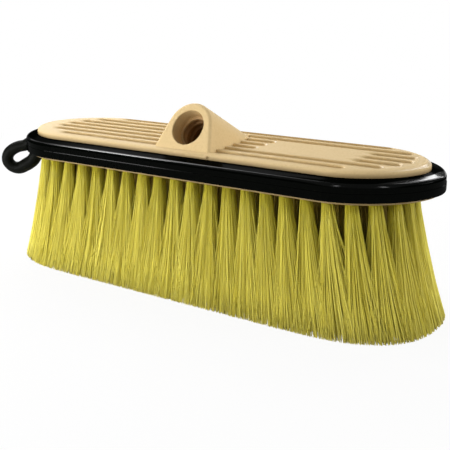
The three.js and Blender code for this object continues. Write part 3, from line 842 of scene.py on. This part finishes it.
def fibres(name, row, chosen, count, levels, reach, thickness):
    """A piece of many fibres, with a tone and a reach at each point and a map for its colours."""
    places, ways, tip_walk = rows[row]
    made = [
        tuft_paths((places[index], ways[index]), tip_walk, index, count, levels, reach)
        for index in chosen
    ]
    paths = np.concatenate([paths for paths, _ in made])
    fibre_tone = np.concatenate([tones for _, tones in made])
    tuft_tone = np.repeat(chance.random(len(made)), count)
    number, rings = paths.shape[:2]
    mesh = fibre_mesh(name, *rods(paths, np.interp(levels, THICKNESS_LEVELS, thickness)))
    for label, values in (
        ("fibre_tone", fibre_tone[:, None, None]),
        ("tuft_tone", tuft_tone[:, None, None]),
        ("fibre_reach", np.asarray(levels)[None, :, None]),
    ):
        layer = mesh.attributes.new(label, "FLOAT", "POINT")
        values = np.broadcast_to(values, (number, rings, FIBRE_SIDES))
        layer.data.foreach_set("value", values.reshape(-1).astype(np.float32))
    layer = mesh.uv_layers.new(name="OFBake")
    layer.uv.foreach_set("vector", bake_map(number, levels).astype(np.float32))
    print(name, "has", number, "fibres and", number * ((rings - 1) * 6 + 2), "triangles")
    return placed(name, mesh)


# %% Fibre rows
EDGE_FIBRES = {
    "count": 480, "levels": (0, 0.2, 0.45, 0.72, 1), "reach": (0.78, 6.0),
    "thickness": (0.19, 0.18, 0.15),
}
INNER_FIBRES = {
    "count": 130, "levels": (0, 0.3, 0.65, 1), "reach": (0.6, 6.8),
    "thickness": (0.34, 0.32, 0.22),
}
quarters = np.array_split(np.roll(np.arange(ROW_COUNTS[0]), ROW_COUNTS[0] // 8), 4)
bristles = {
    "edge_row": [
        fibres(f"fibres_edge_{side}", 0, quarter, **EDGE_FIBRES)
        for side, quarter in zip(("front", "right_end", "back", "left_end"), quarters)
    ],
}
for row, name in enumerate(("second_row", "third_row", "middle_row"), 1):
    bristles[name] = [fibres(f"fibres_{name}", row, range(len(rows[row][0])), **INNER_FIBRES)]

# %% [markdown]
# ## Writing shader maths
# A node tree is sums and products on wires. The small class below wraps one output so that plain
# Python arithmetic adds the nodes, and a second class keeps one finish together. The same could be
# drawn by hand in the shader editor, but sums in a script are easier to read and to change.


# %% Wires
class Wire:
    """One output of a shader node, which can be used in arithmetic."""

    def __init__(self, finish, socket):
        self.finish, self.socket = finish, socket

    def _sum(self, operation, other):
        """A node that works out one sum."""
        return self.finish.node("ShaderNodeMath", {"operation": operation}, {0: self, 1: other})

    def __add__(self, other):
        return self._sum("ADD", other)

    def __sub__(self, other):
        return self._sum("SUBTRACT", other)

    def __mul__(self, other):
        return self._sum("MULTIPLY", other)

    def __pow__(self, other):
        return self._sum("POWER", other)

    __radd__, __rmul__ = __add__, __mul__

    def clamped(self):
        """The same value, held between 0 and 1."""
        return self.finish.node(
            "ShaderNodeMath", {"operation": "ADD", "use_clamp": True}, {0: self, 1: 0.0}
        )


# %% Finishes in the making
class Finish:
    """The node tree of a material or a world in the making, with its main shader."""

    def __init__(self, owner):
        owner.use_nodes = True
        self.owner, self.tree = owner, owner.node_tree
        self.shader = self.tree.nodes.get("Principled BSDF")

    def put(self, value, socket):
        """Gives a socket a number or a colour, or plugs a wire into it."""
        if isinstance(value, Wire):
            self.tree.links.new(value.socket, socket)
        else:
            socket.default_value = value

    def node(self, kind, settings=None, inputs=None, output=0):
        """One of the outputs of a new node, which gets its settings and inputs by name."""
        made = self.tree.nodes.new(kind)
        for key, value in (settings or {}).items():
            setattr(made, key, value)
        for key, value in (inputs or {}).items():
            self.put(value, made.inputs[key])
        return Wire(self, made.outputs[output])

    def point(self, source="Object"):
        """The point that is being coloured, by the object's own measure or another."""
        return self.node("ShaderNodeTexCoord", output=source)

    def place(self, scale=(1, 1, 1)):
        """The point on the object, stretched by a scale."""
        return self.node("ShaderNodeMapping", None, {"Vector": self.point(), "Scale": scale})

    def vector(self, operation, *inputs, output=0):
        """A step of vector maths, whose second output is a plain number."""
        settings = {"operation": operation}
        return self.node("ShaderNodeVectorMath", settings, dict(enumerate(inputs)), output)

    def noise(self, scale, detail, roughness, stretch=(1, 1, 1)):
        """A cloudy pattern that runs through the object, with so many turns to the metre."""
        return self.node("ShaderNodeTexNoise", None, {
            "Vector": self.place(stretch), "Scale": scale, "Detail": detail,
            "Roughness": roughness,
        })

    def coordinate(self, axis, source="Object"):
        """How far along one axis a point lies."""
        return self.node("ShaderNodeSeparateXYZ", None, {0: self.point(source)}, output=axis)

    def between(self, value, start, stop, low=0.0, high=1.0):
        """A soft rise from one number to another while the value goes from start to stop."""
        return self.node("ShaderNodeMapRange", {"interpolation_type": "SMOOTHSTEP"}, {
            "Value": value, "From Min": start, "From Max": stop, "To Min": low, "To Max": high,
        })

    def band(self, value, places, peak=1.0):
        """A soft rise and fall, at four places in millimetres."""
        rise, full, fall, end = (place * MM for place in places)
        return self.between(value, rise, full, 0.0, peak) * self.between(value, end, fall)

    def value(self, name):
        """A number kept at each point of the mesh."""
        return self.node("ShaderNodeAttribute", {"attribute_name": name}, output="Fac")

    def mix(self, share, first, second):
        """A colour between two colours."""
        return self.node(
            "ShaderNodeMix", {"data_type": "RGBA"}, {0: share, 6: first, 7: second}, output=2
        )

    def bump(self, height, strength, distance):
        """A normal that makes a smooth surface look as rough as the height says."""
        return self.node("ShaderNodeBump", None, {
            "Height": height, "Strength": strength, "Distance": distance,
        })

    def set(self, **values):
        """Fills the main shader's sockets, which are named with spaces for underlines."""
        for name, value in values.items():
            self.put(value, self.shader.inputs[name.replace("_", " ")])
        print("finish:", self.owner.name)


# %% New finishes and paint
def new_finish(name):
    """A material of its own with an empty main shader."""
    return Finish(bpy.data.materials.new(name))


def paint(red, green, blue):
    """A colour written as on a paint card, 0 to 255, for a shader's linear light."""
    def linear(part):
        part /= 255
        return part / 12.92 if part <= 0.04045 else ((part + 0.055) / 1.055) ** 2.4
    return (linear(red), linear(green), linear(blue), 1.0)


# %% [markdown]
# ## Finishes
# The block is pigmented plastic with a fine grain from its mould and faint flow marks along it.
# The rim's side just above the bumper, and the lip and underside below it, are painted darker as
# painted shade, and the socket's inside is painted darker too, more so further in, as painted
# shade. Hands have rubbed the right end of the rim and the lips of the channels smooth, which shows
# as a few small highlights. A finish of its own for each place would do that too, but a mask by
# place keeps the moulding one piece of plastic, with one grain. The rubber is nearly black: its
# shoulder, its ledge and a patch of its crest mirror the lamps, and the rest of it hardly does. The
# fibres are dyed plastic, and each one has its own tone. They are painted darker at the root, as
# painted shade where light hardly reaches, paler towards the tips as painted light, and a few tips
# carry specks of painted shade. The anchors are plain steel wire with drawing marks along it.

# %% Block colour
# Painted shade: the socket's inside is painted darker, more so deeper in.
SOCKET_SHADE_RADII, SOCKET_SHADE_DEPTHS = (9.8 * MM, 9.5 * MM), (0.5 * MM, 14 * MM)
# Painted shade: the rim's side just above the bumper is painted darker.
SEAM_SHADE_HEIGHTS = ((RIM_BASE + 2.7) * MM, (RIM_BASE - 0.2) * MM)
# Painted shade: the lip and the underside below the bumper are painted darker.
UNDER_BUMPER_SHADE_HEIGHTS = (70.0 * MM, 67.8 * MM)
tan = new_finish("tan_plastic")
flow = tan.noise(30, 3, 0.5, (0.5, 1, 1))
grain = tan.noise(900, 2, 0.6)
specks = tan.noise(2400, 1, 0.5)
offset = tan.vector("SUBTRACT", tan.point(), tuple(mouth * MM))
down = tan.vector("DOT_PRODUCT", offset, tuple(socket_axis), output=1)
across = tan.vector("CROSS_PRODUCT", offset, tuple(socket_axis))
across = tan.vector("LENGTH", across, output=1)
socket_shade = tan.between(across, *SOCKET_SHADE_RADII) * tan.between(down, *SOCKET_SHADE_DEPTHS, 0.35, 1.0)
level = tan.coordinate(2)
tan_colour = tan.mix(flow, paint(215, 187, 134), paint(225, 198, 147))
# After the grain, the mixes are painted shade: in the socket, above the bumper and below it.
for share, colour in (
    ((grain - 0.45) * 1.2, paint(199, 170, 116)),
    (socket_shade, paint(140, 102, 56)),
    (tan.between(level, *SEAM_SHADE_HEIGHTS, 0.0, 0.8), paint(126, 103, 64)),
    (tan.between(level, *UNDER_BUMPER_SHADE_HEIGHTS), paint(146, 124, 82)),
):
    tan_colour = tan.mix(share, tan_colour, colour)
print("block colour:", [round(part, 2) for part in paint(225, 198, 147)], "at its palest")

# %% Block gloss
RIM_BAND = [BLOCK_TOP - depth for depth in (1.7, 1.3, 0.8, 0.55)]
LIP_BAND = [BLOCK_TOP - depth for depth in (0.5, 0.35, 0.04, 0.01)]
RUBBED_END, RUBBED_LIPS = (95 * MM, 118 * MM), (99 * MM, 103 * MM)
PANEL_BAND = (33, 35, 45, 50)
CHANNEL_FIELD = (0.75, 0.73)
END_START = BLOCK_LENGTH / 2 - BLOCK_END_REACH
length_way, width_way = tan.coordinate(0), tan.coordinate(1)
rubbed = tan.band(level, RIM_BAND) * tan.between(length_way, *RUBBED_END)
end_share = (length_way * (1 / (BLOCK_END_REACH * MM)) - END_START / BLOCK_END_REACH).clamped()
side_share = width_way * width_way * (1 / (BLOCK_WIDTH / 2 * MM) ** 2)
from_middle = end_share ** END_ROUNDNESS + side_share ** (END_ROUNDNESS / 2)
inside = tan.between(from_middle, *CHANNEL_FIELD)
ends = tan.between(length_way, *RUBBED_LIPS) + tan.band(length_way, PANEL_BAND)
lips = tan.band(level, LIP_BAND) * inside * ends
tan.set(
    Base_Color=tan_colour,
    Roughness=(0.5 + 0.16 * grain).clamped(),
    Specular_IOR_Level=0.2,
    Coat_Weight=(rubbed + 0.8 * lips).clamped(),
    Coat_Roughness=0.2,
    Normal=tan.bump(grain + 0.5 * specks, 0.25, 0.00025),
)

# %% Bumper rubber
SHINE_START = ((shoulder - 1.35) * MM, (shoulder - 0.75) * MM)
SHINE_STOP = ((shoulder - 0.3) * MM, (shoulder - 0.05) * MM)
FACE_TOP = ((shoulder - 1.85) * MM, (shoulder - 2.1) * MM)
TURNING_LIFT, CREST_LIFT = 0.6 * MM, 0.7 * MM
CREST_LENGTH, CREST_WIDTH = (112 * MM, 126 * MM), (14 * MM, 2 * MM)
LEFT_FADE = (-95 * MM, -45 * MM)
TURNING_BAND = (80, 100, 121, 128)
LEDGE_BAND = (LEDGE - 0.02, LEDGE + 0.01, LEDGE_TOP + 0.01, LEDGE_TOP + 0.04)
FACE_SHINE, LEDGE_SHINE = 0.045, 0.045
rubber = new_finish("black_rubber")
ripple = rubber.noise(60, 2, 0.5, (0.35, 1, 1.6))
dust = rubber.noise(700, 3, 0.6)
length_way, width_way, height = (rubber.coordinate(axis) for axis in range(3))
turning = rubber.band(length_way, TURNING_BAND)
crest = rubber.between(length_way, *CREST_LENGTH) * rubber.between(width_way, *CREST_WIDTH)
polish = rubber.between(height + TURNING_LIFT * turning, *SHINE_START, 0.0, 0.8)
polish = polish * rubber.between(height - CREST_LIFT * crest, *SHINE_STOP, 1.0, 0.03)
polish = polish * rubber.between(length_way, *LEFT_FADE, 0.15, 1.0)
face = rubber.between(height, *FACE_TOP, 0.0, FACE_SHINE)
ledge = rubber.band(height, LEDGE_BAND, LEDGE_SHINE)
rubber.set(
    Base_Color=rubber.mix((dust - 0.5) * 1.5, paint(2, 3, 2), paint(8, 10, 6)),
    Roughness=(0.2 + 0.06 * ripple + 0.05 * dust).clamped(),
    Specular_IOR_Level=0.0,
    Coat_Weight=(polish + face + ledge).clamped(),
    Coat_Roughness=0.12,
    Normal=rubber.bump(ripple, 0.2, 0.0003),
)

# %% Loop rubber
loop_rubber = new_finish("loop_rubber")
skin = loop_rubber.noise(500, 3, 0.6)
loop_rubber.set(
    Base_Color=loop_rubber.mix(skin, paint(4, 5, 3), paint(13, 15, 9)),
    Roughness=(0.42 + 0.2 * skin).clamped(),
    Specular_IOR_Level=0.06,
    Normal=loop_rubber.bump(skin, 0.4, 0.0004),
)


# %% Fibre finishes
def fibre_finish(name, root_shade_dark, root_shade_light, from_root, full_at):
    """Dyed fibre, painted darker at the root as painted shade, pale further down, paler towards the
    tips as painted light, with painted shade specks at a few tips.
    """
    finish = new_finish(name)
    tone, tuft_tone, reach = (
        finish.value(kept) for kept in ("fibre_tone", "tuft_tone", "fibre_reach")
    )
    pale = finish.mix(tone, paint(217, 203, 64), paint(237, 225, 98))
    # Painted shade: the root colours stand in for the shade deep in the tufts.
    root_shade = finish.mix(tone, root_shade_dark, root_shade_light)
    paling = finish.between(reach, 0.0, full_at, from_root, 1.0) + 0.25 * (tuft_tone - 0.5)
    # Painted light: the lower ends of the fibres are painted paler towards the tips.
    tip_light = finish.mix(tone, paint(231, 217, 80), paint(246, 236, 118))
    colour = finish.mix(paling.clamped(), root_shade, pale)
    colour = finish.mix(finish.between(reach, 0.55, 1.0), colour, tip_light)
    # Painted shade: dark specks at the very tips of a few fibres.
    tip_shade_specks = finish.between(reach, 0.965, 0.985) * finish.between(tone, 0.84, 0.88)
    finish.set(
        Base_Color=finish.mix(tip_shade_specks, colour, paint(120, 104, 26)),
        Roughness=(0.38 + 0.2 * tone).clamped(),
        Specular_IOR_Level=0.35,
    )
    return finish.owner


edge_fibre = fibre_finish("edge_fibre", paint(182, 170, 34), paint(204, 192, 54), 0.25, 0.6)
# The inner rows are painted darker at the root than the edge row: painted shade deep in the brush.
inner_fibre = fibre_finish("inner_fibre", paint(128, 106, 34), paint(152, 128, 44), 0.0, 0.7)

# %% Anchor finish
wire_steel = new_finish("anchor_steel")
drawn = wire_steel.noise(400, 2, 0.5, (0.1, 1, 1))
wire_steel.set(
    Base_Color=wire_steel.mix(drawn, paint(176, 178, 182), paint(206, 208, 212)),
    Metallic=1.0,
    Roughness=(0.28 + 0.15 * drawn).clamped(),
)


# %% Wear the finishes
def wear(piece, material):
    """The material becomes the piece's only one."""
    piece.data.materials.clear()
    piece.data.materials.append(material)


wear(block, tan.owner)
wear(bumper, rubber.owner)
wear(loop, loop_rubber.owner)
for row, pieces in bristles.items():
    for piece in pieces:
        wear(piece, edge_fibre if row == "edge_row" else inner_fibre)
wires = [node for name, node in frame["nodes"].items() if name.startswith("anchor_wire")]
for node in wires:
    wear(node, wire_steel.owner)
print("anchor wires with a finish:", len(wires))

# %% [markdown]
# ## Every piece on its body
# Nothing on this brush moves, so all pieces ride on the one body. Each new piece stands for the
# imported node that it replaces, which is hidden. The anchor wires have no piece of their own: the
# imported ones are shown as they are, in their new finish.

# %% Ride and replace
for piece, node, slot in (
    (block, "block", "tan_plastic"),
    (bumper, "bumper", "black_rubber"),
    (loop, "hang_loop", "loop_rubber"),
):
    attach(piece, "root")
    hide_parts(node)
for row, pieces in bristles.items():
    for piece in pieces:
        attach(piece, "root")
        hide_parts(f"bristles_{row}")

# %% [markdown]
# ## Studio
# The photograph is a product shot on white. A white floor and a white world give that, and both
# show white to the camera and to reflections by a light path switch, so that no extra light falls
# on the brush. The main lamp stands high behind it on the left and leaves the channel walls that
# face the camera in shade. A low one in front lights the fibres, and one on the right the boss's
# flank. A small one high on the left draws the line along the bumper's shoulder, and narrow ones
# behind and in front set the last highlights.

# %% Floor
FLOOR_HALF, FLOOR_TOP, FLOOR_BOTTOM = 3000, -0.05, -20
FLOOR_FADE = (0.15, 0.55, 0.92, 1.0)


def seen_directly(finish):
    """Two wires that are one for some rays: for the camera's, and for reflections and glass."""
    path = finish.tree.nodes.new("ShaderNodeLightPath")
    camera_ray, glossy, clear = (
        Wire(finish, path.outputs[f"Is {kind} Ray"])
        for kind in ("Camera", "Glossy", "Transmission")
    )
    return camera_ray, (glossy + clear).clamped()


floor = new_piece("floor", *box_points(
    (-FLOOR_HALF, -FLOOR_HALF, FLOOR_BOTTOM), (FLOOR_HALF, FLOOR_HALF, FLOOR_TOP),
))
studio = new_finish("floor_white")
camera_ray, mirrored = seen_directly(studio)
seen = (camera_ray + mirrored).clamped()
away = studio.vector("LENGTH", studio.point(), output=1)
far = studio.between(away, *FLOOR_FADE)
glow = studio.node("ShaderNodeEmission", None, {"Color": (1, 1, 1, 1), "Strength": 1.0})
paper = studio.mix(seen, (0.75, 0.75, 0.75, 1), (0.85, 0.85, 0.85, 1))
white = studio.node("ShaderNodeBsdfDiffuse", None, {"Color": paper})
blend = studio.node("ShaderNodeMixShader", None, {0: seen * far, 1: white, 2: glow})
studio.put(blend, studio.tree.nodes["Material Output"].inputs["Surface"])
wear(floor, studio.owner)
print("floor:", 2 * FLOOR_HALF, "mm wide")

# %% World
sky = Finish(bpy.data.worlds.new("studio"))
bpy.context.scene.world = sky.owner
camera_ray, mirrored = seen_directly(sky)
backdrop = sky.between(sky.coordinate(2, "Generated"), 0.0, 0.18, 1.0, 0.12)
ambient = sky.node("ShaderNodeMix", {"data_type": "FLOAT"}, {0: mirrored, 2: 0.25, 3: backdrop})
strength = sky.node("ShaderNodeMix", {"data_type": "FLOAT"}, {0: camera_ray, 2: ambient, 3: 1.0})
sky.put((1, 1, 1, 1), sky.tree.nodes["Background"].inputs["Color"])
sky.put(strength, sky.tree.nodes["Background"].inputs["Strength"])
print("world:", sky.owner.name)

# %% Lamps
BRUSH_MIDDLE = np.array([0.0, 0.0, 0.06])


def lamp(name, place, width, height, watts):
    """A soft lamp that faces the brush."""
    light = bpy.data.lights.new(name, "AREA")
    light.shape, light.energy, light.size, light.size_y = "RECTANGLE", watts, width, height
    thing = placed(name, light)
    thing.location = place
    way = BRUSH_MIDDLE - np.array(place)
    flat = math.hypot(way[0], way[1])
    thing.rotation_euler = (math.atan2(flat, -way[2]), 0, math.atan2(way[1], way[0]) - math.pi / 2)


lamp("left_softbox", (-0.70, -0.12, 0.79), 0.18, 0.18, 2.3)
lamp("high_softbox", (-0.36, 0.22, 0.38), 0.4, 0.4, 2.25)
lamp("front_softbox", (-0.27, -0.47, 0.09), 0.4, 0.1, 2.45)
lamp("right_softbox", (0.84, 0.25, 0.23), 0.4, 0.3, 3.7)
lamp("back_softbox", (-0.108, 0.814, 0.4855), 0.3, 0.14, 0.9)
lamp("rim_softbox", (0.2, 0.68, 0.6), 0.12, 0.7, 1.3)
lamp("front_strip", (0.108, -0.75, 0.626), 0.07, 0.4, 0.35)
lamp("right_strip", (0.775, -0.435, 0.535), 0.09, 0.4, 0.5)
bpy.context.scene.view_settings.view_transform = "Standard"
